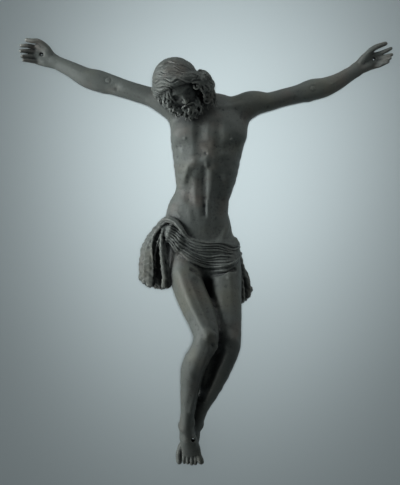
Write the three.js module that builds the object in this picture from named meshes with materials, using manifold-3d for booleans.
// A cast bronze crucifix corpus: a slender male figure with raised arms, bowed head and crossed feet,
// its loincloth knotted on one hip. It lies on its back, so +Z is the front of the body, +Y points to
// the head and X = 0 is the middle of the body. The origin is centred under the figure, on the plane
// that the backs of the hands, the shoulder blades, the seat and the lower foot rest on.
//
// The figure is drawn on a canon of 408 equal parts from the crown to the tips of the toes. Every
// place and radius of the body is a number of those parts, so it is a share of the height. Fittings
// that are made with a drill or a file keep their own sizes in millimetres.

import * as THREE from "three";
import { mergeVertices } from "three/addons/utils/BufferGeometryUtils.js";
import Module from "manifold-3d";

// Driving dimensions, in millimetres.
const FIGURE_HEIGHT = 450;
const HAND_NAIL_HOLE = 4.2; // diameter of the drilled hole through each palm
const FOOT_NAIL_HOLE = 4.2; // diameter of the drilled hole through both insteps
const SEAT_PLANE = 0; // height of the filed plane that the figure rests on, above the drawn one
const FACET_COUNT = 9400; // triangles that the faceted body is simplified to
const CUTTER_REACH = 1000; // the floor cutter is this wide and long, more than the figure ever is
const CUTTER_DEPTH = 100; // how far the floor cutter goes down
const BIT_LENGTH = 200; // the drill goes right through the body

const CANON = 408;
const PART = FIGURE_HEIGHT / CANON;

const { min, max, abs, sqrt, sin, cos, PI, hypot } = Math;

// Fields. A field is a solid given by its signed distance, in parts: at(x, y, z) is negative inside,
// and box holds the solid.

const clamp = (v, low, high) => max(low, min(high, v));
const mix = (a, b, t) => a + (b - a) * t;

// A round union of two distances, rounded within k of where they meet.
function soften(a, b, k) {
  const h = max(k - abs(a - b), 0) / k;
  return min(a, b) - (h * h * k) / 4;
}

function boxAround(points, radius) {
  const box = new THREE.Box3();
  for (const p of points) {
    box.expandByPoint(new THREE.Vector3(p[0], p[1], p[2]));
  }
  return box.expandByScalar(radius);
}

function awayFromBox(box, x, y, z) {
  const dx = max(box.min.x - x, 0, x - box.max.x);
  const dy = max(box.min.y - y, 0, y - box.max.y);
  const dz = max(box.min.z - z, 0, z - box.max.z);
  return sqrt(dx * dx + dy * dy + dz * dz);
}

// Distance to an ellipsoid of radii ra, rb and rc, for a point at (a, b, c) from its centre.
function ellipsoidDistance(a, b, c, ra, rb, rc) {
  const ua = a / ra;
  const ub = b / rb;
  const uc = c / rc;
  const k0 = sqrt(ua * ua + ub * ub + uc * uc);
  if (k0 < 1e-4) return -min(ra, rb, rc);
  const k1 = hypot(ua / ra, ub / rb, uc / rc);
  return (k0 * (k0 - 1)) / k1;
}

// Three unit directions: across, close to the wanted side, then the axis, then the depth.
function frameOf(axis, side) {
  const along = new THREE.Vector3(...axis).normalize();
  const across = new THREE.Vector3(...side);
  across.addScaledVector(along, -across.dot(along)).normalize();
  return [across, along, new THREE.Vector3().crossVectors(across, along)];
}

// An ellipsoid with its second radius along the axis.
function egg(centre, radii, axis = [0, 1, 0], side = [1, 0, 0]) {
  const [s, a, d] = frameOf(axis, side);
  const at = (x, y, z) => {
    const px = x - centre[0];
    const py = y - centre[1];
    const pz = z - centre[2];
    return ellipsoidDistance(
      px * s.x + py * s.y + pz * s.z,
      px * a.x + py * a.y + pz * a.z,
      px * d.x + py * d.y + pz * d.z,
      radii[0], radii[1], radii[2],
    );
  };
  return { at, box: boxAround([centre], max(...radii)) };
}

// Rows of numbers, rounded off between by a Catmull-Rom curve with the given steps to each span.
function curved(rows, steps) {
  const out = [];
  for (let i = 0; i < rows.length - 1; i++) {
    const p = [rows[max(i - 1, 0)], rows[i], rows[i + 1], rows[min(i + 2, rows.length - 1)]];
    for (let j = 0; j < steps; j++) {
      const t = j / steps;
      out.push(rows[i].map((_, n) => {
        const [a, b, c, d] = p.map((row) => row[n]);
        const bend = (2 * a - 5 * b + 4 * c - d) * t * t + (3 * b - a - 3 * c + d) * t * t * t;
        return b + ((c - a) * t + bend) / 2;
      }));
    }
  }
  out.push(rows[rows.length - 1]);
  return out;
}

// A limb: an elliptical section carried along stations [x, y, z, half width, half depth].
function limb(stations, side = [1, 0, 0], steps = 3) {
  const rows = curved(stations, steps);
  const spans = rows.slice(1).map((b, i) => {
    const a = rows[i];
    const d = [b[0] - a[0], b[1] - a[1], b[2] - a[2]];
    const [s, u, w] = frameOf(d, side);
    return { a, b, d, s, u, w, square: d[0] * d[0] + d[1] * d[1] + d[2] * d[2] };
  });
  const at = (x, y, z) => {
    let nearest = Infinity;
    for (const { a, b, d, s, u, w, square } of spans) {
      let px = x - a[0];
      let py = y - a[1];
      let pz = z - a[2];
      const t = clamp((px * d[0] + py * d[1] + pz * d[2]) / square, 0, 1);
      px -= t * d[0];
      py -= t * d[1];
      pz -= t * d[2];
      const wide = mix(a[3], b[3], t);
      const deep = mix(a[4], b[4], t);
      nearest = min(nearest, ellipsoidDistance(
        px * s.x + py * s.y + pz * s.z,
        px * u.x + py * u.y + pz * u.z,
        px * w.x + py * w.y + pz * w.z,
        wide, min(wide, deep), deep,
      ));
    }
    return nearest;
  };
  return { at, box: boxAround(rows, max(...rows.map((r) => max(r[3], r[4])))) };
}

// A round strand along points [x, y, z, radius].
function strand(points, steps = 3) {
  return limb(points.map(([x, y, z, r]) => [x, y, z, r, r]), [0.31, 0.17, 0.93], steps);
}

// One solid made of several, blended where they meet.
function blend(k, ...solids) {
  const at = (x, y, z) => {
    let d = Infinity;
    for (const solid of solids) {
      const away = awayFromBox(solid.box, x, y, z);
      if (away < d + k && away < 3 * k + 12) d = soften(d, solid.at(x, y, z), k);
      else d = min(d, away);
    }
    return d;
  };
  const box = new THREE.Box3();
  for (const solid of solids) box.union(solid.box);
  return { at, box };
}

// A mark raises the surface near it by its height, or sinks it where the height is negative.
function bump(centre, radii, height) {
  const at = (x, y, z) => {
    const a = (x - centre[0]) / radii[0];
    const b = (y - centre[1]) / radii[1];
    const c = (z - centre[2]) / radii[2];
    const q = a * a + b * b + c * c;
    return q < 1 ? height * (1 - q) * (1 - q) : 0;
  };
  return { at, box: boxAround([centre], max(...radii)) };
}

// A ridge or, with a negative height, a groove that follows a curve through the points.
function ridge(points, radius, height, steps = 3) {
  const rows = curved(points, steps);
  const at = (x, y, z) => {
    let nearest = Infinity;
    for (let i = 1; i < rows.length; i++) {
      const a = rows[i - 1];
      const b = rows[i];
      const dx = b[0] - a[0];
      const dy = b[1] - a[1];
      const dz = b[2] - a[2];
      const px = x - a[0];
      const py = y - a[1];
      const pz = z - a[2];
      const t = clamp((px * dx + py * dy + pz * dz) / (dx * dx + dy * dy + dz * dz), 0, 1);
      nearest = min(nearest, hypot(px - t * dx, py - t * dy, pz - t * dz));
    }
    const q = (nearest / radius) ** 2;
    return q < 1 ? height * (1 - q) * (1 - q) : 0;
  };
  return { at, box: boxAround(rows, radius) };
}

function marked(solid, marks) {
  const reach = 14;
  const at = (x, y, z) => {
    let d = solid.at(x, y, z);
    if (abs(d) > reach) return d;
    for (const mark of marks) {
      if (awayFromBox(mark.box, x, y, z) === 0) d -= mark.at(x, y, z);
    }
    return d;
  };
  return { at, box: solid.box.clone().expandByScalar(2) };
}

// The head has a frame of its own, bowed forward and tipped to the figure's right.
const HEAD_CENTRE = new THREE.Vector3(-26, 375.5, 58);
const HEAD_UP = new THREE.Vector3(-0.35, 0.65, 0.675).normalize();
const HEAD_SIDE = new THREE.Vector3(1, 0.5, 0);
HEAD_SIDE.addScaledVector(HEAD_UP, -HEAD_SIDE.dot(HEAD_UP)).normalize();
const HEAD_FRONT = new THREE.Vector3().crossVectors(HEAD_SIDE, HEAD_UP);

// A place on the head: to the figure's left, up to the crown, and forward to the face.
function onHead(left, up, front) {
  const p = HEAD_CENTRE.clone();
  p.addScaledVector(HEAD_SIDE, left).addScaledVector(HEAD_UP, up).addScaledVector(HEAD_FRONT, front);
  return [p.x, p.y, p.z];
}

const headEgg = (centre, radii) => egg(onHead(...centre), radii, HEAD_UP.toArray(), HEAD_SIDE.toArray());

function torso() {
  const trunk = limb([
    [-3, 198, 25, 25, 18],
    [-5, 215, 25, 33, 22],
    [-7.5, 234, 25, 34, 22],
    [-7.6, 250, 24.5, 31, 19.5],
    [-4.8, 260, 24, 28.6, 18.2],
    [-2.6, 270, 24, 27.2, 18],
    [-0.2, 281, 25, 28.6, 19.8],
    [1.1, 295, 26.3, 31.4, 22.6],
    [2, 310, 26.6, 33.6, 24.6],
    [3, 326, 26, 35.6, 25],
    [4.4, 340, 25, 37.2, 22.6],
    [4.5, 352, 24.5, 36, 18.5],
    [4, 361, 25, 28, 14],
  ]);
  return blend(
    7,
    trunk,
    egg([-15, 333, 34], [19, 14, 14], [-0.5, 1, 0]),
    egg([23, 334, 34], [19, 14, 14], [0.5, 1, 0]),
    egg([-17, 330, 14.5], [15, 22, 13.5]),
    egg([23, 331, 14.5], [15, 22, 13.5]),
    limb([[-23, 316, 18, 7, 14], [-26, 338, 20, 6, 12], [-35, 356, 22, 7, 10]]),
    limb([[28, 316, 18, 7, 14], [34, 338, 20, 6, 12], [42, 355, 22, 7, 10]]),
    egg([-20, 208, 16], [17, 18, 14]),
    egg([12, 206, 16], [17, 18, 14]),
    limb([[-8, 368, 23, 12, 9], [-28, 363, 22, 12, 10], [-39, 364, 22, 8, 9]], [0, 1, 0]),
    limb([[11, 359, 23, 9, 9], [27, 355, 22, 9, 9.5], [42, 359, 22, 10, 10]], [0, 1, 0]),
  );
}

function torsoMarks() {
  const arch = [
    [-25, 273, 36], [-21, 286, 42], [-11, 298, 47], [1, 304, 49], [13, 298, 47], [23, 286, 42], [27, 274, 36],
  ];
  const marks = [
    ridge(arch, 7, 1.9),
    bump([-8, 302, 48], [7, 6, 8], 1),
    bump([10, 302, 48], [7, 6, 8], 1),
    bump([1, 285, 46], [18, 19, 16], -3.8),
    bump([0, 262, 44], [19, 16, 14], 1.4),
    ridge([[1.5, 352, 45], [1.5, 330, 51], [1, 309, 51]], 7, -1.5),
    ridge([[1, 300, 47], [1, 280, 42], [1, 262, 42]], 5, -1.1),
    ridge([[-15, 292, 44], [-14, 270, 41], [-9, 246, 42]], 6, -0.9),
    ridge([[17, 292, 44], [15, 270, 41], [10, 246, 42]], 6, -0.9),
    bump([1, 257.5, 43], [3, 4.6, 6], -2.6),
    ridge([[-24, 322, 43], [-13, 319, 49], [0, 322, 51]], 6.5, -1.6),
    ridge([[30, 323, 43], [17, 319, 49], [3, 322, 51]], 6.5, -1.6),
    bump([-20, 325, 47], [2.6, 2.6, 5], 1),
    bump([27, 325, 46], [2.6, 2.6, 5], 1),
    ridge([[-2, 357, 40], [-20, 360, 37], [-36, 362, 32]], 4.5, 1.5),
    ridge([[7, 356, 40], [24, 358, 37], [40, 362, 32]], 4.5, 1.5),
    ridge([[-38, 247, 34], [-29, 234, 40], [-18, 224, 44]], 5.5, 1.5),
    ridge([[28, 246, 32], [22, 234, 39], [14, 224, 43]], 5.5, 1.5),
    ridge([[2, 352, 4], [1, 310, 1], [-2, 270, 3], [-5, 240, 3]], 8, -2.2),
    ridge([[-12, 350, 3], [-15, 335, 1], [-24, 318, 2]], 7, 1.4),
    ridge([[16, 350, 3], [19, 335, 1], [30, 318, 2]], 7, 1.4),
  ];
  // Six ribs show on each flank. Each rises towards the back.
  for (let i = 0; i < 6; i++) {
    const y = 277 + i * 8.4;
    const spread = 27 + i * 1.3;
    const front = 44 - i * 0.6;
    const inner = 20 - i * 0.6;
    marks.push(ridge([[-spread - 1, y + 8, 20], [-spread + 2, y + 3, 34], [-inner, y, front]], 4.6, 0.75));
    marks.push(ridge([[spread + 4, y + 8, 20], [spread + 1, y + 3, 34], [inner + 3, y, front]], 4.6, 0.75));
  }
  return marks;
}

function rightArm() {
  const arm = limb([
    [-31, 358, 24, 12.5, 12],
    [-41, 362.5, 23.5, 12, 11],
    [-52, 367.6, 22.5, 10, 10],
    [-65, 372, 20.5, 9, 9.8],
    [-81, 377, 18.5, 9, 9.2],
    [-95, 381.6, 16, 9.8, 8],
    [-107, 385, 14.4, 10.7, 8.4],
    [-120, 389, 12.4, 9.6, 8.2],
    [-133, 396, 9.8, 7.9, 6.8],
    [-145, 401.8, 7.2, 6.9, 5.4],
    [-153, 405.6, 5.5, 6.4, 4.8],
  ], [0, 1, 0]);
  return blend(5, arm, egg([-40, 364, 24], [9, 16, 11], [-1, 0.35, 0], [0, 1, 0]));
}

function leftArm() {
  const arm = limb([
    [36, 359, 24, 12.5, 12],
    [45, 361, 23.5, 12.5, 11],
    [54, 362.4, 22.5, 10.8, 10],
    [65, 364, 21, 9.2, 9.8],
    [79, 368, 19, 8.8, 9.2],
    [94, 371.8, 16.2, 9.2, 8],
    [107, 375.8, 14.6, 10.6, 8.4],
    [120, 378.6, 12.6, 9.7, 8.2],
    [133, 384.2, 10, 8.2, 7],
    [144, 391, 7.2, 7.1, 5.6],
    [152.5, 396.3, 5.5, 6.6, 4.8],
  ], [0, 1, 0]);
  return blend(5, arm, egg([47, 364, 24], [10, 15, 11], [1, 0.15, 0], [0, 1, 0]));
}

function armMarks() {
  return [
    bump([-92, 382, 27], [9, 7, 8], -1.2),
    bump([-112, 391.5, 17], [13, 6, 9], 1.2),
    bump([-100, 374.5, 14], [6, 5, 7], 1),
    ridge([[-128, 395, 20], [-140, 400.5, 16.5], [-152, 406, 14]], 2.2, 0.8),
    ridge([[-60, 366, 28], [-75, 371, 26], [-88, 376, 24]], 4, -1),
    bump([97, 373, 27], [9, 7, 8], -1.2),
    bump([113, 383, 17], [12, 6, 9], 1.2),
    bump([104, 366, 14], [6, 5, 7], 1),
    ridge([[126, 381, 21], [140, 389.5, 17], [152, 397, 14]], 2.2, 0.8),
    ridge([[60, 359, 28], [76, 363, 26], [90, 367, 24]], 4, -1),
  ];
}

function rightLeg() {
  const leg = limb([
    [-20, 214, 25, 17, 18],
    [-20, 197, 32, 17, 18.5],
    [-16.5, 179, 43, 15.6, 17.5],
    [-8.5, 160, 55, 15.4, 16.2],
    [-1.6, 143, 66, 13.8, 14.2],
    [1, 132, 72.5, 12.7, 13.2],
    [0.2, 124, 75, 12.2, 12.6],
    [-4, 114, 72.5, 11.7, 12],
    [-9, 105, 67.5, 12, 12.4],
    [-12.6, 95, 61.5, 11.4, 12.6],
    [-14.2, 82, 53.5, 10.1, 11.4],
    [-15.8, 68, 46, 8.4, 9.4],
    [-17, 56, 40.5, 7.1, 7.8],
    [-18, 47, 36.5, 6.8, 7.6],
    [-18.6, 39, 33, 7.4, 8],
  ], [1, 0, 0]);
  return blend(4, leg, egg([3.5, 130, 83], [6.5, 8, 5], [0.3, 1, 0.3]), egg([-13, 96, 52], [9, 16, 9], [0, 1, 0.6]));
}

function leftLeg() {
  const leg = limb([
    [17, 214, 25, 17, 18],
    [19.6, 197, 30, 16.6, 17.6],
    [21, 178, 38, 15.4, 15],
    [21.5, 160, 46.6, 14.8, 13.6],
    [22.4, 143, 54.6, 13.6, 12.2],
    [23.6, 130, 59, 12.2, 11.4],
    [23.4, 120, 60.6, 11.7, 11.2],
    [20.6, 110, 57.4, 11.2, 11.2],
    [15.6, 99, 51.2, 11.2, 11.6],
    [10.2, 87, 45.2, 10.8, 11.6],
    [4.5, 75, 39.2, 9.6, 10.6],
    [-1, 63.5, 31.5, 8.2, 9],
    [-5, 54, 25, 7.3, 8],
    [-8, 45, 19.5, 7.2, 7.8],
    [-10.4, 38, 15.8, 7.6, 8.4],
  ], [1, 0, 0]);
  return blend(
    4,
    leg,
    egg([24.5, 126, 67.4], [6.5, 8, 5], [0, 1, 0.3]),
    egg([13.4, 97, 44], [9, 16, 9], [0.4, 1, 0.6]),
    egg([8, 188, 34], [8, 20, 8], [0.1, 1, 0.4]),
    egg([6, 168, 38], [9.5, 26, 9], [0.15, 1, -0.45]),
    egg([3, 96, 49.5], [5, 22, 8], [0.25, 1, 0.5]),
  );
}

function legMarks() {
  return [
    bump([-24.5, 40, 31], [5, 6, 6], 1.8),
    bump([-10.5, 43, 36], [5, 6, 6], 1.5),
    bump([-3, 39, 17], [5, 6, 6], 1.4),
    ridge([[3, 120, 86], [-2, 112, 83], [-8, 98, 74], [-12, 76, 60], [-15, 55, 48]], 3.5, 1.2),
    ridge([[24, 115, 70.5], [20, 106, 66], [14, 92, 57], [4, 72, 46.5], [-4, 55, 32]], 3.5, 1.1),
    ridge([[-26, 196, 46], [-20, 170, 62], [-10, 148, 75]], 5, 1.2),
    ridge([[-10, 190, 50], [-1, 165, 66], [6, 146, 76]], 4, -1),
  ];
}

// A finger or toe: its joints, from the knuckle to the tip, and its radius there.
function digit(joints, radius, taper = 0.72) {
  const last = joints.length - 1;
  return limb(joints.map(([x, y, z], i) => {
    const r = radius * mix(1, taper, i / last) * (i === last ? 0.92 : 1);
    return [x, y, z, r, r * 0.95];
  }), [0, 1, 0], 2);
}

function rightHand() {
  const palm = limb([
    [-152, 405.3, 5.3, 6.4, 4.8],
    [-158, 407.6, 4.4, 7.8, 4.6],
    [-164, 410.2, 3.6, 9.4, 4.4],
    [-169.5, 412.6, 3.4, 9.2, 3.9],
  ], [0.4, 1, 0]);
  return blend(
    1.4,
    blend(
      2.5,
      palm,
      egg([-159.5, 413.5, 6], [4.2, 8, 4.4], [-0.7, 0.75, 0], [1, 0.5, 0]),
      egg([-160, 403.5, 5.5], [3.4, 8, 3.6], [-0.95, 0.3, 0], [0.3, 1, 0]),
      egg([-166, 419, 6], [3, 6, 3], [-0.9, 0.5, 0], [0, 0, 1]),
    ),
    digit([[-154, 411, 6], [-160.5, 420, 8], [-168, 425, 9.5], [-174, 425.5, 10], [-179.5, 426.5, 9]], 3.2, 0.68),
    digit([[-167, 418.2, 4], [-173, 419.8, 5.5], [-179.5, 420.8, 8.5], [-185, 420.8, 9]], 2.6),
    digit([[-168.5, 413.8, 3.6], [-175, 414.8, 6], [-181, 415.4, 9.5], [-185.4, 415.4, 11.5]], 2.7),
    digit([[-168.5, 409.2, 3.6], [-174.5, 409.8, 6.5], [-180, 410, 10], [-184, 410, 12.5]], 2.6),
    digit([[-167, 404.8, 3.8], [-173, 405.2, 6.5], [-178.5, 405.8, 9.5], [-182.8, 406, 11.5]], 2.3),
  );
}

function leftHand() {
  const palm = limb([
    [152, 396.4, 5.3, 6.3, 4.8],
    [158, 400.6, 4.4, 7.4, 4.6],
    [164.5, 404.8, 3.6, 8.8, 4.4],
    [170.5, 407.2, 3.4, 8.6, 3.9],
  ], [-0.5, 1, 0]);
  return blend(
    1.4,
    blend(
      2.5,
      palm,
      egg([162, 409, 6], [4.2, 8, 4.4], [0.75, 0.65, 0], [-1, 0.5, 0]),
      egg([162.5, 399, 5.5], [3.4, 8, 3.6], [0.88, 0.46, 0], [-0.4, 1, 0]),
    ),
    digit([[157, 403, 6], [165, 413.8, 8], [171, 418.6, 9.5], [176.5, 421, 10], [182, 423, 9]], 3.2, 0.68),
    digit([[169, 411.6, 4], [175.5, 413, 5.5], [182, 415.4, 8.5], [187.4, 418, 9]], 2.5),
    digit([[171, 407.6, 3.6], [177, 408.6, 6], [183.4, 410.2, 9.5], [188, 411.6, 11.5]], 2.5),
    digit([[171, 403.4, 3.6], [176.5, 404, 6.5], [182, 406.4, 10], [186.4, 408, 12.5]], 2.4),
    digit([[169, 399.8, 3.8], [175, 400.6, 6.5], [180, 402.6, 9.5], [184.4, 404.4, 11.5]], 2.2),
  );
}

function rightFoot() {
  const sole = limb([
    [-18.6, 34, 26, 6.6, 8],
    [-17.4, 28, 26.5, 8, 8.6],
    [-15.8, 22, 23.5, 8.8, 7.2],
    [-14.2, 15.5, 19.6, 9.4, 5.4],
    [-13.6, 11, 17.4, 9.6, 4.4],
  ]);
  return blend(
    1.8,
    sole,
    egg([-19, 31.5, 20.5], [6, 7.5, 6.5]),
    digit([[-9.6, 17, 19.5], [-7.6, 10, 17.5], [-5, 4.6, 18.6], [-3.8, 2.2, 17.8]], 3.8, 0.82),
    digit([[-9.8, 11, 17.2], [-9.4, 4.6, 18.4], [-9.6, 0.6, 16.2]], 2.5, 0.84),
    digit([[-13, 11, 17.2], [-13.2, 4.2, 18.2], [-13.4, 0.2, 16]], 2.4, 0.84),
    digit([[-16.6, 11.5, 16.8], [-17.2, 5, 17.6], [-17.4, 1.2, 15.6]], 2.4, 0.84),
    digit([[-20, 12.5, 16.4], [-21, 6.6, 17], [-21.2, 3, 15]], 2.3, 0.84),
  );
}

function leftFoot() {
  const sole = limb([
    [-11.4, 34, 9.4, 6.8, 8.4],
    [-13.2, 27, 10, 8, 8.4],
    [-15.4, 21, 8, 9, 6.8],
    [-17.4, 15, 6, 9.8, 5.2],
    [-18.4, 11, 5, 10, 4.4],
  ]);
  return blend(
    1.8,
    sole,
    egg([-11.4, 31, 6], [6.2, 7.5, 6.8]),
    digit([[-23.4, 17, 6], [-25.8, 9.5, 7], [-26, 3.6, 7.4], [-25.8, 1.4, 6.6]], 3.7, 0.82),
    digit([[-20.6, 11, 4.8], [-20.8, 4.5, 5.6], [-20.8, 0.8, 4.2]], 2.4, 0.84),
    digit([[-17.2, 11, 4.4], [-16.8, 4.4, 5], [-16.8, 1, 3.8]], 2.4, 0.84),
    digit([[-13.8, 11.5, 4.4], [-13, 5, 4.8], [-12.9, 1.6, 3.6]], 2.3, 0.84),
    digit([[-10.8, 12.5, 4.4], [-9.8, 6.4, 4.6], [-9.6, 3, 3.6]], 2.2, 0.84),
  );
}

function head() {
  const neck = limb([
    [3, 353, 25, 14, 13],
    [-1, 362, 33, 12.6, 12.4],
    [-9, 369, 42, 12.2, 12.4],
    [-18, 374, 50, 13, 13],
  ]);
  const skull = blend(
    4,
    headEgg([0, 5, -3], [20.4, 21.5, 24.5]),
    headEgg([0, -8, 8], [15, 18, 13]),
    headEgg([0, -22.5, 13.5], [7.4, 5.6, 6.4]),
    headEgg([-8.5, -16, 3], [6, 9, 9]),
    headEgg([8.5, -16, 3], [6, 9, 9]),
    neck,
  );
  const nose = blend(
    1.6,
    skull,
    strand([[...onHead(0, 2.5, 20.5), 2.2], [...onHead(0, -4, 24), 2.3], [...onHead(0, -8.6, 26.4), 2.7]]),
    headEgg([-2.9, -9, 23], [2, 1.9, 2.4]),
    headEgg([2.9, -9, 23], [2, 1.9, 2.4]),
    headEgg([0, -13.8, 20.4], [5.2, 1.5, 2.2]),
    headEgg([0, -16.4, 19.8], [4.4, 1.4, 2]),
  );
  return marked(nose, [
    ridge([onHead(-11, 2.2, 17), onHead(-5, 4.4, 21), onHead(5, 4.4, 21), onHead(11, 2.2, 17)], 3.6, 1.6),
    bump(onHead(-7.4, -1.4, 20.5), [5.6, 5.2, 5.6], -3.2),
    bump(onHead(7.4, -1.4, 20.5), [5.6, 5.2, 5.6], -3.2),
    bump(onHead(-7.4, -1.6, 17.6), [3.4, 3, 3.4], 2.2),
    bump(onHead(7.4, -1.6, 17.6), [3.4, 3, 3.4], 2.2),
    bump(onHead(-11, -7.5, 16), [5, 5, 5], 1.3),
    bump(onHead(11, -7.5, 16), [5, 5, 5], 1.3),
  ]);
}

// A number from 0 to 1 that looks random and is always the same for the same seed.
function scatter(seed) {
  const v = sin(seed * 127.1 + 11.7) * 43758.5453;
  return v - Math.floor(v);
}

// A curling lock. It starts at a place on the head, leaves along one direction, and swings from side
// to side as it narrows.
function lock(start, towards, swing, length, radius, seed) {
  const points = [];
  const bends = 1.2 + scatter(seed) * 0.8;
  for (let i = 0; i <= 5; i++) {
    const t = i / 5;
    const s = sin(t * bends * PI + seed) * swing * t;
    const c = (cos(t * bends * PI + seed) - 1) * swing * 0.4 * t;
    points.push([
      start[0] + towards[0] * length * t + s * towards[1] + c * 0.3,
      start[1] + towards[1] * length * t - s * towards[0],
      start[2] + towards[2] * length * t + c,
      radius * mix(1, 0.42, t * t),
    ]);
  }
  return strand(points, 2);
}

// A point of the scalp: the given angle away from the whorl of the crown, at a turn about it.
const CAP = { centre: [0, 6.4, -4], radii: [22, 21, 25] };
const WHORL = new THREE.Vector3(-0.26, 0.82, 0.5).normalize();
const WHORL_SIDE = new THREE.Vector3(1, 0.3, 0).cross(WHORL).normalize();
const WHORL_FRONT = new THREE.Vector3().crossVectors(WHORL, WHORL_SIDE);

function onScalp(away, turn, lift) {
  const d = WHORL.clone().multiplyScalar(cos(away));
  d.addScaledVector(WHORL_SIDE, sin(away) * cos(turn));
  d.addScaledVector(WHORL_FRONT, sin(away) * sin(turn));
  const [a, b, c] = d.toArray().map((v, n) => CAP.centre[n] + v * (CAP.radii[n] + lift));
  return onHead(a, b, c);
}

function hair() {
  const locks = [];
  const cap = headEgg(CAP.centre, CAP.radii);
  const nape = headEgg([0, -9, -14], [16, 15, 11]);
  // Long strands leave the whorl of the crown and lie over the scalp.
  locks.push(headEgg([11, 9, 1], [12, 12, 15]));
  const strands = 22;
  for (let i = 0; i < strands; i++) {
    const turn = (i / strands) * 2 * PI;
    const back = -cos(turn) * WHORL_SIDE.z - sin(turn) * WHORL_FRONT.z;
    const reach = 1.25 + 0.2 * scatter(i + 9) + 1.1 * max(0, back);
    const points = [];
    for (let j = 0; j <= 5; j++) {
      const t = j / 5;
      const sway = 0.34 * sin(t * 5 + i * 1.3) * (1 - t * 0.4) + t * 0.5;
      points.push([...onScalp(0.16 + t * reach, turn + sway, -0.9 + t * 0.4), 1.5 + t * 1.1]);
    }
    locks.push(strand(points, 2));
  }
  // A wavy roll of hair frames the forehead from one temple to the other.
  for (let i = 0; i < 3; i++) {
    const points = [];
    for (let j = 0; j <= 8; j++) {
      const t = j / 8;
      const turn = mix(-1.25, 1.25, t);
      const wave = sin(t * 15 + i * 2.1) * 1.5;
      points.push([...onHead(sin(turn) * (22 + i), 9.5 - i * 3.4 + wave + t * 2, cos(turn) * (21.5 + i * 0.6) - 2), 3.1]);
    }
    locks.push(strand(points, 2));
  }
  // A cluster of full curls stands off the left temple.
  for (let i = 0; i < 7; i++) {
    const a = i * 0.9;
    const out = 22.5 + (i % 3) * 3;
    locks.push(lock(onHead(out, 11 - i * 2.6, 6 + sin(a) * 6), [0.2, -0.6, 0.3 * cos(a)], 4.5, 8, 4, a));
  }
  // Curls fall from the right temple, and longer locks from the left one and from the nape.
  const fall = [0.1, -0.9, -0.2];
  for (let i = 0; i < 9; i++) {
    const t = i / 8;
    const right = onHead(mix(-21, -13, t * t), mix(5, -17, t), mix(9, 1, scatter(i + 2)));
    locks.push(lock(right, fall, 3.6, 4.5 + scatter(i) * 3.5, 3, i * 1.7));
    const left = onHead(21 + sin(t * PI) * 3, mix(4, -18, t), mix(11, -14, t));
    locks.push(lock(left, [0.22, -0.85, -0.3], 4, 10 + scatter(i + 20) * 7, 3.4, i * 2.3 + 1));
  }
  for (let i = 0; i < 9; i++) {
    const t = mix(-1, 1, i / 8);
    const start = onHead(t * 17, -7 - scatter(i + 30) * 5, -26 + t * t * 8);
    locks.push(lock(start, [0.1, -0.75, -0.5], 3.4, 13 + scatter(i + 40) * 6, 3.5, i * 1.9 + 4));
  }
  return blend(1.6, cap, nape, ...locks);
}

function beard() {
  const locks = [];
  for (let i = 0; i < 11; i++) {
    const t = mix(-1, 1, i / 10);
    const start = onHead(t * 12, -13.5 - (1 - t * t) * 7, 8 + (1 - t * t) * 8);
    const towards = [0.28 + t * 0.12, -0.9, 0.06 + (1 - abs(t)) * 0.06];
    locks.push(lock(start, towards, 2.8, 6 + (1 - abs(t)) * 3.5 + scatter(i + 60) * 2.5, 3.1, i * 2.1 + 2));
  }
  for (const side of [-1, 1]) {
    locks.push(strand([
      [...onHead(side * 1.4, -11.8, 23.6), 1.5],
      [...onHead(side * 5.4, -13.2, 21.4), 1.9],
      [...onHead(side * 8.6, -17.5, 17.6), 1.5],
    ]));
  }
  return blend(1.8, headEgg([0, -21, 10], [11, 7.5, 9]), ...locks);
}

// The loincloth is wrapped round the hips and gathered in a knot on the right hip. Its folds leave the
// knot, sag across the front, are drawn up at the left hip, and run back round the seat.
const WAIST = { x: -4, z: 24, wide: 34, deep: 22 };
const FOLDS = 7;
const KNOT_TURN = 138 * (PI / 180);

// Height of the cloth at a turn about the waist, for v from 0 at its upper edge to 1 at its lower edge.
// A turn of 0 is the left hip and a quarter turn is the front.
function clothHeight(turn, v) {
  if (turn >= 0) {
    const s = clamp((cos(turn) - cos(KNOT_TURN)) / (1 - cos(KNOT_TURN)), 0, 1);
    const middle = mix(0.5, 0.6, v);
    const toKnot = max(0, 1 - s / middle) ** 2 * mix(17, 26, v);
    const toHip = max(0, (s - middle) / (1 - middle)) ** 2 * mix(4, 14, v);
    return mix(223.5, 197, v) + toKnot + toHip;
  }
  const round = clamp(-turn / (PI * 0.4), 0, 1);
  const home = clamp((-turn - PI * 0.75) / (PI * 0.35), 0, 1);
  const seat = mix(mix(227.5, 211, v), mix(233, 199, v), round * round * (3 - 2 * round));
  return mix(seat, mix(238, 222, v), home * home);
}

// The point over the body at a height and a turn about the waist.
function overBody(body, y, turn, lift) {
  const size = hypot(WAIST.wide * cos(turn), WAIST.deep * sin(turn));
  const dx = (WAIST.wide * cos(turn)) / size;
  const dz = (WAIST.deep * sin(turn)) / size;
  let r = 64;
  while (r > 8 && body.at(WAIST.x + r * dx, y, WAIST.z + r * dz) > 0) r -= 0.4;
  return [WAIST.x + (r + lift) * dx, y, WAIST.z + (r + lift) * dz];
}

// A round limit of a solid: the greater of two distances, rounded within k.
const limit = (a, b, k) => -soften(-a, -b, k);

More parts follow.
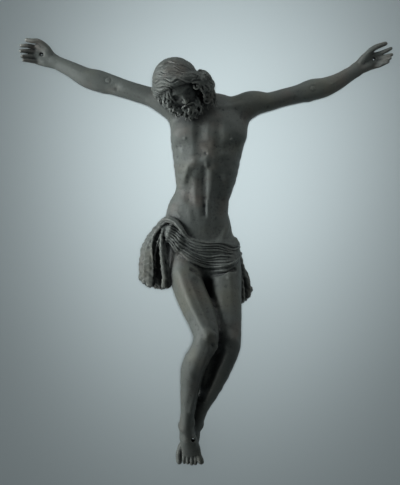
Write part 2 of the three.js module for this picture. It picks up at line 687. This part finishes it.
function wrap(body) {
  const rolls = [];
  for (let i = 0; i < FOLDS; i++) {
    const v = i / (FOLDS - 1) + (i % (FOLDS - 1) ? 0.04 * sin(i * 2.3) : 0);
    const fold = [];
    for (let j = 0; j <= 28; j++) {
      const turn = mix(KNOT_TURN, -PI * 1.16, j / 28);
      const front = clamp(turn * 2, 0, 1);
      const gap = (clothHeight(turn, 0) - clothHeight(turn, 1)) / (FOLDS - 1);
      const radius = mix(gap * 0.5, gap * (i % 2 ? 0.62 : 0.48), front);
      fold.push([...overBody(body, clothHeight(turn, v), turn, mix(0.2, 1.5, front)), clamp(radius, 1.2, 3.2)]);
    }
    rolls.push(strand(fold, 1));
  }
  // The plain cloth under the rolls.
  const at = (x, y, z) => {
    const bare = body.at(x, y, z);
    if (bare > 12) return bare - 3;
    const turn = Math.atan2((z - WAIST.z) / WAIST.deep, (x - WAIST.x) / WAIST.wide);
    const unwound = turn > KNOT_TURN ? turn - 2 * PI : turn;
    const above = (y - clothHeight(unwound, 0)) * 0.8;
    const below = (clothHeight(unwound, 1) - y) * 0.8;
    return limit(bare - 1.8, max(above, below), 1.5);
  };
  const box = new THREE.Box3(new THREE.Vector3(-48, 190, -8), new THREE.Vector3(42, 246, 62));
  return blend(1.2, { at, box }, ...rolls);
}

function knot() {
  return blend(
    2,
    egg([-34, 231, 36], [9, 10, 8]),
    limb([[-16, 228, 47, 2.6, 3], [-22, 234, 47, 3.6, 4], [-29, 241, 45, 4.4, 5], [-37, 244.5, 39, 4.6, 6],
      [-42, 239, 31, 4.8, 7]], [0, 1, 0]),
    limb([[-20, 222, 48, 2.6, 3], [-28, 229, 49.5, 3.6, 4.4], [-36, 236, 45, 4, 5], [-42, 234, 36, 4.6, 6]], [0, 1, 0]),
    limb([[-24, 216, 48, 2.6, 3], [-32, 222, 48.5, 3.4, 4], [-39, 228, 43, 4, 5], [-44, 228, 35, 4, 5]], [0, 1, 0]),
  );
}

function rightTail() {
  const crumples = [];
  for (let i = 0; i < 7; i++) {
    const t = i / 6;
    const centre = [mix(-61, -37, t), 183.5 - sin(t * PI) * 3.5, 26 + scatter(i + 70) * 9];
    crumples.push(egg(centre, [4.6, 4.4, 6 + scatter(i + 80) * 3], [1, scatter(i) - 0.5, 0.3], [0, 1, 0]));
  }
  return blend(
    2,
    limb([[-38, 243, 31, 4, 5], [-45, 228, 27, 7, 5], [-49, 213, 25, 9, 5], [-49.4, 200, 24, 12, 5],
      [-49, 188, 24, 14, 5]]),
    limb([[-40, 243, 35, 4, 6], [-48, 233, 36, 4.6, 7.4], [-54, 219, 36, 5, 8], [-57.4, 205, 35, 5.6, 8.4],
      [-59.4, 190, 33, 5.6, 8]]),
    limb([[-41, 236, 40, 2.8, 4], [-44.5, 226, 41, 2.4, 5], [-43, 213, 42, 2.4, 6], [-40.4, 202, 42, 2.5, 6.4],
      [-39.6, 187, 39, 3, 6]]),
    limb([[-47, 231, 40, 2, 3], [-49, 221, 41, 2, 4], [-50, 210, 40, 1.8, 4]]),
    limb([[-37, 220, 32, 3, 5], [-35, 204, 33, 3, 6], [-35, 187, 32, 3.4, 6]]),
    ...crumples,
  );
}

function leftTail() {
  const crumples = [];
  for (let i = 0; i < 5; i++) {
    const t = i / 4;
    crumples.push(egg([mix(30, 44, t), 165.5 + t * t * 7, 12 + scatter(i) * 5], [4.4, 4.6, 6]));
  }
  return blend(
    2,
    limb([[25, 222, 16, 5, 7], [28, 209, 13, 7.6, 7], [31, 196, 12, 8.6, 7], [34.8, 183, 12, 10.4, 7],
      [36.8, 172, 12, 9.8, 6.6]]),
    limb([[29.6, 217, 21, 3, 4], [33.6, 206, 20, 3, 5], [38, 193, 19, 3.2, 5.4], [43, 177, 17, 3.8, 6]]),
    limb([[30, 208, 20, 2.4, 4], [33.8, 194, 19, 2.4, 4.4], [37, 170, 18, 2.6, 5]]),
    ...crumples,
  );
}

function figure() {
  const body = marked(
    blend(6, torso(), rightArm(), leftArm(), rightLeg(), leftLeg()),
    [...torsoMarks(), ...armMarks(), ...legMarks()],
  );
  const footed = blend(3, blend(5, body, rightFoot()), leftFoot());
  const limbs = blend(2.5, footed, rightHand(), leftHand());
  const bust = blend(1.6, blend(3, limbs, head()), hair(), beard());
  return blend(2, bust, wrap(body), blend(1.5, knot(), rightTail()), leftTail());
}

// Surface of a field: the space round it is halved down to small cubes where the surface runs, and
// each cube is cut into six tetrahedra, which always give one closed skin.

const TETRAHEDRA = [[0, 1, 3, 7], [0, 5, 1, 7], [0, 3, 2, 7], [0, 2, 6, 7], [0, 4, 5, 7], [0, 6, 4, 7]];
const PAIRS = [
  [[0, 1, 2, 3], 0b0011], [[0, 2, 3, 1], 0b0101], [[0, 3, 1, 2], 0b1001],
];
const SINGLES = [[0, 1, 2, 3], [1, 0, 3, 2], [2, 3, 0, 1], [3, 2, 1, 0]];

function surfaceOf(field, cell) {
  const levels = 5;
  const coarse = 2 ** levels;
  const low = field.box.min.clone().subScalar(cell * 2);
  const size = field.box.getSize(new THREE.Vector3()).addScalar(cell * 4);
  const counts = size.toArray().map((s) => Math.ceil(s / (cell * coarse)));
  const stride = [1, counts[0] * coarse + 1, (counts[0] * coarse + 1) * (counts[1] * coarse + 1)];
  const values = new Map();
  const points = [];
  const triangles = [];
  const onEdge = new Map();

  const place = (i, j, k) => [low.x + i * cell, low.y + j * cell, low.z + k * cell];
  const valueAt = (i, j, k) => {
    const key = i * stride[0] + j * stride[1] + k * stride[2];
    let v = values.get(key);
    if (v === undefined) {
      v = field.at(...place(i, j, k));
      values.set(key, v);
    }
    return v;
  };

  const crossing = (a, b) => {
    const [p, q] = a.key < b.key ? [a, b] : [b, a];
    const key = p.key * 8 + (q.corner ^ p.corner);
    let index = onEdge.get(key);
    if (index === undefined) {
      const t = clamp(p.value / (p.value - q.value), 0.15, 0.85);
      index = points.length;
      points.push([0, 1, 2].map((n) => mix(p.at[n], q.at[n], t)));
      onEdge.set(key, index);
    }
    return index;
  };

  const cut = (v) => {
    const inside = v.reduce((bits, c, n) => bits | (c.value < 0 ? 1 << n : 0), 0);
    for (const order of SINGLES) {
      const [o, a, b, c] = order.map((n) => v[n]);
      const bit = 1 << order[0];
      if (inside === bit) triangles.push([crossing(o, a), crossing(o, b), crossing(o, c)]);
      if (inside === (15 ^ bit)) triangles.push([crossing(o, a), crossing(o, c), crossing(o, b)]);
    }
    for (const [order, bits] of PAIRS) {
      if (inside !== bits && inside !== (15 ^ bits)) continue;
      const [a, b, c, d] = order.map((n) => v[n]);
      const ring = [crossing(a, c), crossing(a, d), crossing(b, d), crossing(b, c)];
      if (inside !== bits) ring.reverse();
      triangles.push([ring[0], ring[1], ring[2]], [ring[0], ring[2], ring[3]]);
    }
  };

  const visit = (i, j, k, step) => {
    const half = step / 2;
    const middle = field.at(...place(i + half, j + half, k + half));
    if (abs(middle) > step * cell * 1.35 + 1.5) return;
    if (step > 1) {
      for (let n = 0; n < 8; n++) {
        visit(i + (n & 1) * half, j + ((n >> 1) & 1) * half, k + (n >> 2) * half, half);
      }
      return;
    }
    const corners = [];
    for (let n = 0; n < 8; n++) {
      const [a, b, c] = [i + (n & 1), j + ((n >> 1) & 1), k + (n >> 2)];
      const key = a * stride[0] + b * stride[1] + c * stride[2];
      corners.push({ corner: n, key, at: place(a, b, c), value: valueAt(a, b, c) });
    }
    const negative = corners.filter((c) => c.value < 0).length;
    if (negative > 0 && negative < 8) {
      for (const tetrahedron of TETRAHEDRA) cut(tetrahedron.map((n) => corners[n]));
    }
  };

  for (let i = 0; i < counts[0]; i++) {
    for (let j = 0; j < counts[1]; j++) {
      for (let k = 0; k < counts[2]; k++) visit(i * coarse, j * coarse, k * coarse, coarse);
    }
  }
  return { points: points.map((p) => settle(field, p, cell)), triangles };
}

// Moves a point onto the surface of the field, along its slope.
function settle(field, p, cell) {
  const h = 0.15;
  const d = field.at(...p);
  const slope = [0, 1, 2].map((n) => {
    const q = p.slice();
    q[n] += h;
    return (field.at(...q) - d) / h;
  });
  const steep = slope[0] ** 2 + slope[1] ** 2 + slope[2] ** 2;
  const step = clamp(d / max(steep, 0.3), -cell * 0.4, cell * 0.4);
  return p.map((v, n) => v - step * slope[n]);
}

// Keeps only the largest closed skin, which drops small bubbles shut in between blended shapes.
function outerSkin({ points, triangles }) {
  const root = points.map((_, v) => v);
  const find = (v) => {
    while (root[v] !== v) {
      root[v] = root[root[v]];
      v = root[v];
    }
    return v;
  };
  for (const [a, b, c] of triangles) {
    root[find(b)] = find(a);
    root[find(c)] = find(a);
  }
  const sizes = new Map();
  for (const [a] of triangles) sizes.set(find(a), (sizes.get(find(a)) ?? 0) + 1);
  const [largest] = [...sizes].reduce((best, next) => (next[1] > best[1] ? next : best));
  return { points, triangles: triangles.filter(([a]) => find(a) === largest) };
}

// Faceting: the skin is brought down to few triangles. Again and again the edge whose loss moves the
// surface least is drawn together to one point. Each corner keeps the sum of the squared distances to
// the planes that met there, and the parts that carry fine carving weigh more.

const FINE_PLACES = [
  { centre: onHead(0, -4, 4), reach: 38, weight: 16 },
  { centre: [-170, 412, 5], reach: 22, weight: 12 },
  { centre: [172, 406, 5], reach: 22, weight: 12 },
  { centre: [-14, 12, 12], reach: 22, weight: 8 },
  { centre: [0, 214, 40], reach: 36, weight: 4 },
  { centre: [-44, 212, 36], reach: 32, weight: 4 },
];

function fineness(p) {
  let weight = 1;
  for (const place of FINE_PLACES) {
    const d = hypot(p[0] - place.centre[0], p[1] - place.centre[1], p[2] - place.centre[2]);
    if (d < place.reach) weight = max(weight, place.weight);
  }
  return weight;
}

// The plane of a triangle as a symmetric 4 by 4 matrix, kept as its ten different entries.
function planeTerms(a, b, c, weight) {
  const u = [b[0] - a[0], b[1] - a[1], b[2] - a[2]];
  const v = [c[0] - a[0], c[1] - a[1], c[2] - a[2]];
  const n = [u[1] * v[2] - u[2] * v[1], u[2] * v[0] - u[0] * v[2], u[0] * v[1] - u[1] * v[0]];
  const size = hypot(...n);
  if (size < 1e-12) return new Array(10).fill(0);
  const [x, y, z] = n.map((q) => q / size);
  const w = -(x * a[0] + y * a[1] + z * a[2]);
  return [x * x, x * y, x * z, x * w, y * y, y * z, y * w, z * z, z * w, w * w].map((q) => q * size * weight);
}

function misfit(q, x, y, z) {
  return q[0] * x * x + 2 * q[1] * x * y + 2 * q[2] * x * z + 2 * q[3] * x + q[4] * y * y
    + 2 * q[5] * y * z + 2 * q[6] * y + q[7] * z * z + 2 * q[8] * z + q[9];
}

// The point of least misfit, held lightly to the middle of the edge.
function bestPoint(terms, a, b) {
  const middle = [(a[0] + b[0]) / 2, (a[1] + b[1]) / 2, (a[2] + b[2]) / 2];
  const hold = 0.004 * (terms[0] + terms[4] + terms[7]) + 1e-9;
  const q = terms.slice();
  [0, 4, 7].forEach((n) => { q[n] += hold; });
  const [r, s, t] = [hold * middle[0] - q[3], hold * middle[1] - q[6], hold * middle[2] - q[8]];
  const minors = [q[4] * q[7] - q[5] * q[5], q[2] * q[5] - q[1] * q[7], q[1] * q[5] - q[2] * q[4]];
  const det = q[0] * minors[0] + q[1] * minors[1] + q[2] * minors[2];
  const cross = q[1] * q[2] - q[0] * q[5];
  return [
    (r * minors[0] + s * minors[1] + t * minors[2]) / det,
    (r * minors[1] + s * (q[0] * q[7] - q[2] * q[2]) + t * cross) / det,
    (r * minors[2] + s * cross + t * (q[0] * q[4] - q[1] * q[1])) / det,
  ];
}

// A heap that gives the cheapest entry first.
class Queue {
  constructor() {
    this.items = [];
  }

  push(item) {
    const { items } = this;
    let i = items.length;
    items.push(item);
    while (i > 0) {
      const up = (i - 1) >> 1;
      if (items[up].cost <= item.cost) break;
      items[i] = items[up];
      i = up;
    }
    items[i] = item;
  }

  pop() {
    const { items } = this;
    const first = items[0];
    const last = items.pop();
    if (items.length === 0) return first;
    let i = 0;
    for (;;) {
      let down = 2 * i + 1;
      if (down >= items.length) break;
      if (down + 1 < items.length && items[down + 1].cost < items[down].cost) down++;
      if (items[down].cost >= last.cost) break;
      items[i] = items[down];
      i = down;
    }
    items[i] = last;
    return first;
  }
}

// Whether a triangle keeps its side and stays well shaped when one corner moves from one place to another.
function staysSound(from, to, b, c) {
  const u = [b[0] - from[0], b[1] - from[1], b[2] - from[2]];
  const v = [c[0] - from[0], c[1] - from[1], c[2] - from[2]];
  const p = [b[0] - to[0], b[1] - to[1], b[2] - to[2]];
  const q = [c[0] - to[0], c[1] - to[1], c[2] - to[2]];
  const n = [u[1] * v[2] - u[2] * v[1], u[2] * v[0] - u[0] * v[2], u[0] * v[1] - u[1] * v[0]];
  const m = [p[1] * q[2] - p[2] * q[1], p[2] * q[0] - p[0] * q[2], p[0] * q[1] - p[1] * q[0]];
  const before = hypot(...n);
  const after = hypot(...m);
  const across = (b[0] - c[0]) ** 2 + (b[1] - c[1]) ** 2 + (b[2] - c[2]) ** 2;
  const shapeBefore = before / max(hypot(...u) ** 2, hypot(...v) ** 2, across);
  const shapeAfter = after / max(hypot(...p) ** 2, hypot(...q) ** 2, across);
  const turned = n[0] * m[0] + n[1] * m[1] + n[2] * m[2];
  const sliver = shapeBefore < 0.03;
  return (sliver || turned > 0.3 * before * after) && shapeAfter > min(0.09, shapeBefore);
}

function simplify({ points, triangles }, wanted) {
  const faces = triangles.map((t) => t.slice());
  const alive = new Uint8Array(faces.length).fill(1);
  const around = points.map(() => []);
  const terms = points.map(() => new Array(10).fill(0));
  const version = new Int32Array(points.length);
  faces.forEach((t, index) => {
    const plane = planeTerms(points[t[0]], points[t[1]], points[t[2]], fineness(points[t[0]]));
    for (const v of t) {
      around[v].push(index);
      for (let n = 0; n < 10; n++) terms[v][n] += plane[n];
    }
  });

  const queue = new Queue();
  const offer = (a, b) => {
    const sum = terms[a].map((q, n) => q + terms[b][n]);
    const at = bestPoint(sum, points[a], points[b]);
    const span = hypot(points[a][0] - points[b][0], points[a][1] - points[b][1], points[a][2] - points[b][2]);
    const cost = misfit(sum, ...at) + 1e-5 * span * span;
    queue.push({ cost, a, b, at, stamp: version[a] + version[b], sum });
  };
  const neighbours = (v) => {
    const set = new Set();
    for (const f of around[v]) for (const n of faces[f]) if (n !== v) set.add(n);
    return set;
  };

  points.forEach((_, v) => {
    for (const n of neighbours(v)) if (n > v) offer(v, n);
  });

  let left = faces.length;
  while (left > wanted && queue.items.length > 0) {
    const { a, b, at, stamp, sum } = queue.pop();
    if (version[a] < 0 || version[b] < 0 || stamp !== version[a] + version[b]) continue;
    const near = neighbours(a);
    if (!near.has(b)) continue;
    const shared = [...neighbours(b)].filter((n) => near.has(n));
    if (shared.length !== 2) continue;
    const sound = [a, b].every((v) => around[v].every((f) => {
      const t = faces[f];
      if (t.includes(a) && t.includes(b)) return true;
      const k = t.indexOf(v);
      return staysSound(points[v], at, points[t[(k + 1) % 3]], points[t[(k + 2) % 3]]);
    }));
    if (!sound) continue;
    for (const f of around[b]) {
      const t = faces[f];
      if (t.includes(a)) {
        alive[f] = 0;
        left--;
      } else {
        t[t.indexOf(b)] = a;
        around[a].push(f);
      }
    }
    around[a] = around[a].filter((f) => alive[f]);
    for (const v of shared) around[v] = around[v].filter((f) => alive[f]);
    around[b] = [];
    version[b] = -1;
    version[a] += 1;
    points[a] = at;
    terms[a] = sum;
    for (const n of neighbours(a)) offer(a, n);
  }
  return { points, triangles: faces.filter((_, f) => alive[f]) };
}

// The casting in millimetres: faceted, filed flat where it seats, drilled for its nails, and centred.

const wasm = await Module();
wasm.setup();

const CELL = 1.7; // edge of the cubes that the surface is sampled in, in parts
const HAND_NAILS = [[-164.7, 412.1], [170.1, 407.3]];
const FOOT_NAIL = [-12, 25];

function solidOf({ points, triangles }, scale) {
  const index = new Map();
  const vertices = [];
  const corners = [];
  for (const triangle of triangles) {
    for (const v of triangle) {
      if (!index.has(v)) {
        index.set(v, index.size);
        vertices.push(...points[v].map((q) => q * scale));
      }
      corners.push(index.get(v));
    }
  }
  return new wasm.Manifold(new wasm.Mesh({
    numProp: 3,
    vertProperties: new Float32Array(vertices),
    triVerts: new Uint32Array(corners),
  }));
}

// A solid of the wasm library from a shape drawn by three.js.
function cutterOf(geometry) {
  geometry.deleteAttribute("normal");
  geometry.deleteAttribute("uv");
  const merged = mergeVertices(geometry, 1e-4);
  return new wasm.Manifold(new wasm.Mesh({
    numProp: 3,
    vertProperties: new Float32Array(merged.attributes.position.array),
    triVerts: new Uint32Array(merged.index.array),
  }));
}

function drill(diameter, [x, y]) {
  const bit = new THREE.CylinderGeometry(diameter / 2, diameter / 2, BIT_LENGTH, 16);
  bit.rotateX(PI / 2);
  bit.translate(x * PART, y * PART, 0);
  return cutterOf(bit);
}

function floorBlock() {
  const block = new THREE.BoxGeometry(CUTTER_REACH, CUTTER_REACH, CUTTER_DEPTH);
  block.translate(0, FIGURE_HEIGHT / 2, SEAT_PLANE - CUTTER_DEPTH / 2);
  return cutterOf(block);
}

const skin = simplify(outerSkin(surfaceOf(figure(), CELL)), FACET_COUNT);
let casting = solidOf(skin, PART);
for (const place of HAND_NAILS) casting = casting.subtract(drill(HAND_NAIL_HOLE, place));
casting = casting.subtract(drill(FOOT_NAIL_HOLE, FOOT_NAIL)).subtract(floorBlock());

const cut = casting.getMesh();
const geometry = new THREE.BufferGeometry();
geometry.setAttribute("position", new THREE.BufferAttribute(new Float32Array(cut.vertProperties), 3));
geometry.setIndex([...cut.triVerts]);
geometry.computeBoundingBox();
const middle = geometry.boundingBox.getCenter(new THREE.Vector3());
geometry.translate(-middle.x, -middle.y, -SEAT_PLANE);
geometry.computeVertexNormals();

const bronze = new THREE.MeshStandardMaterial({ color: 0x3a3f3b, roughness: 0.45, metalness: 0.9, name: "bronze" });
const corpus = new THREE.Mesh(geometry, bronze);
corpus.name = "corpus";

const group = new THREE.Group();
group.name = "crucifix_corpus";
group.add(corpus);

export default group;
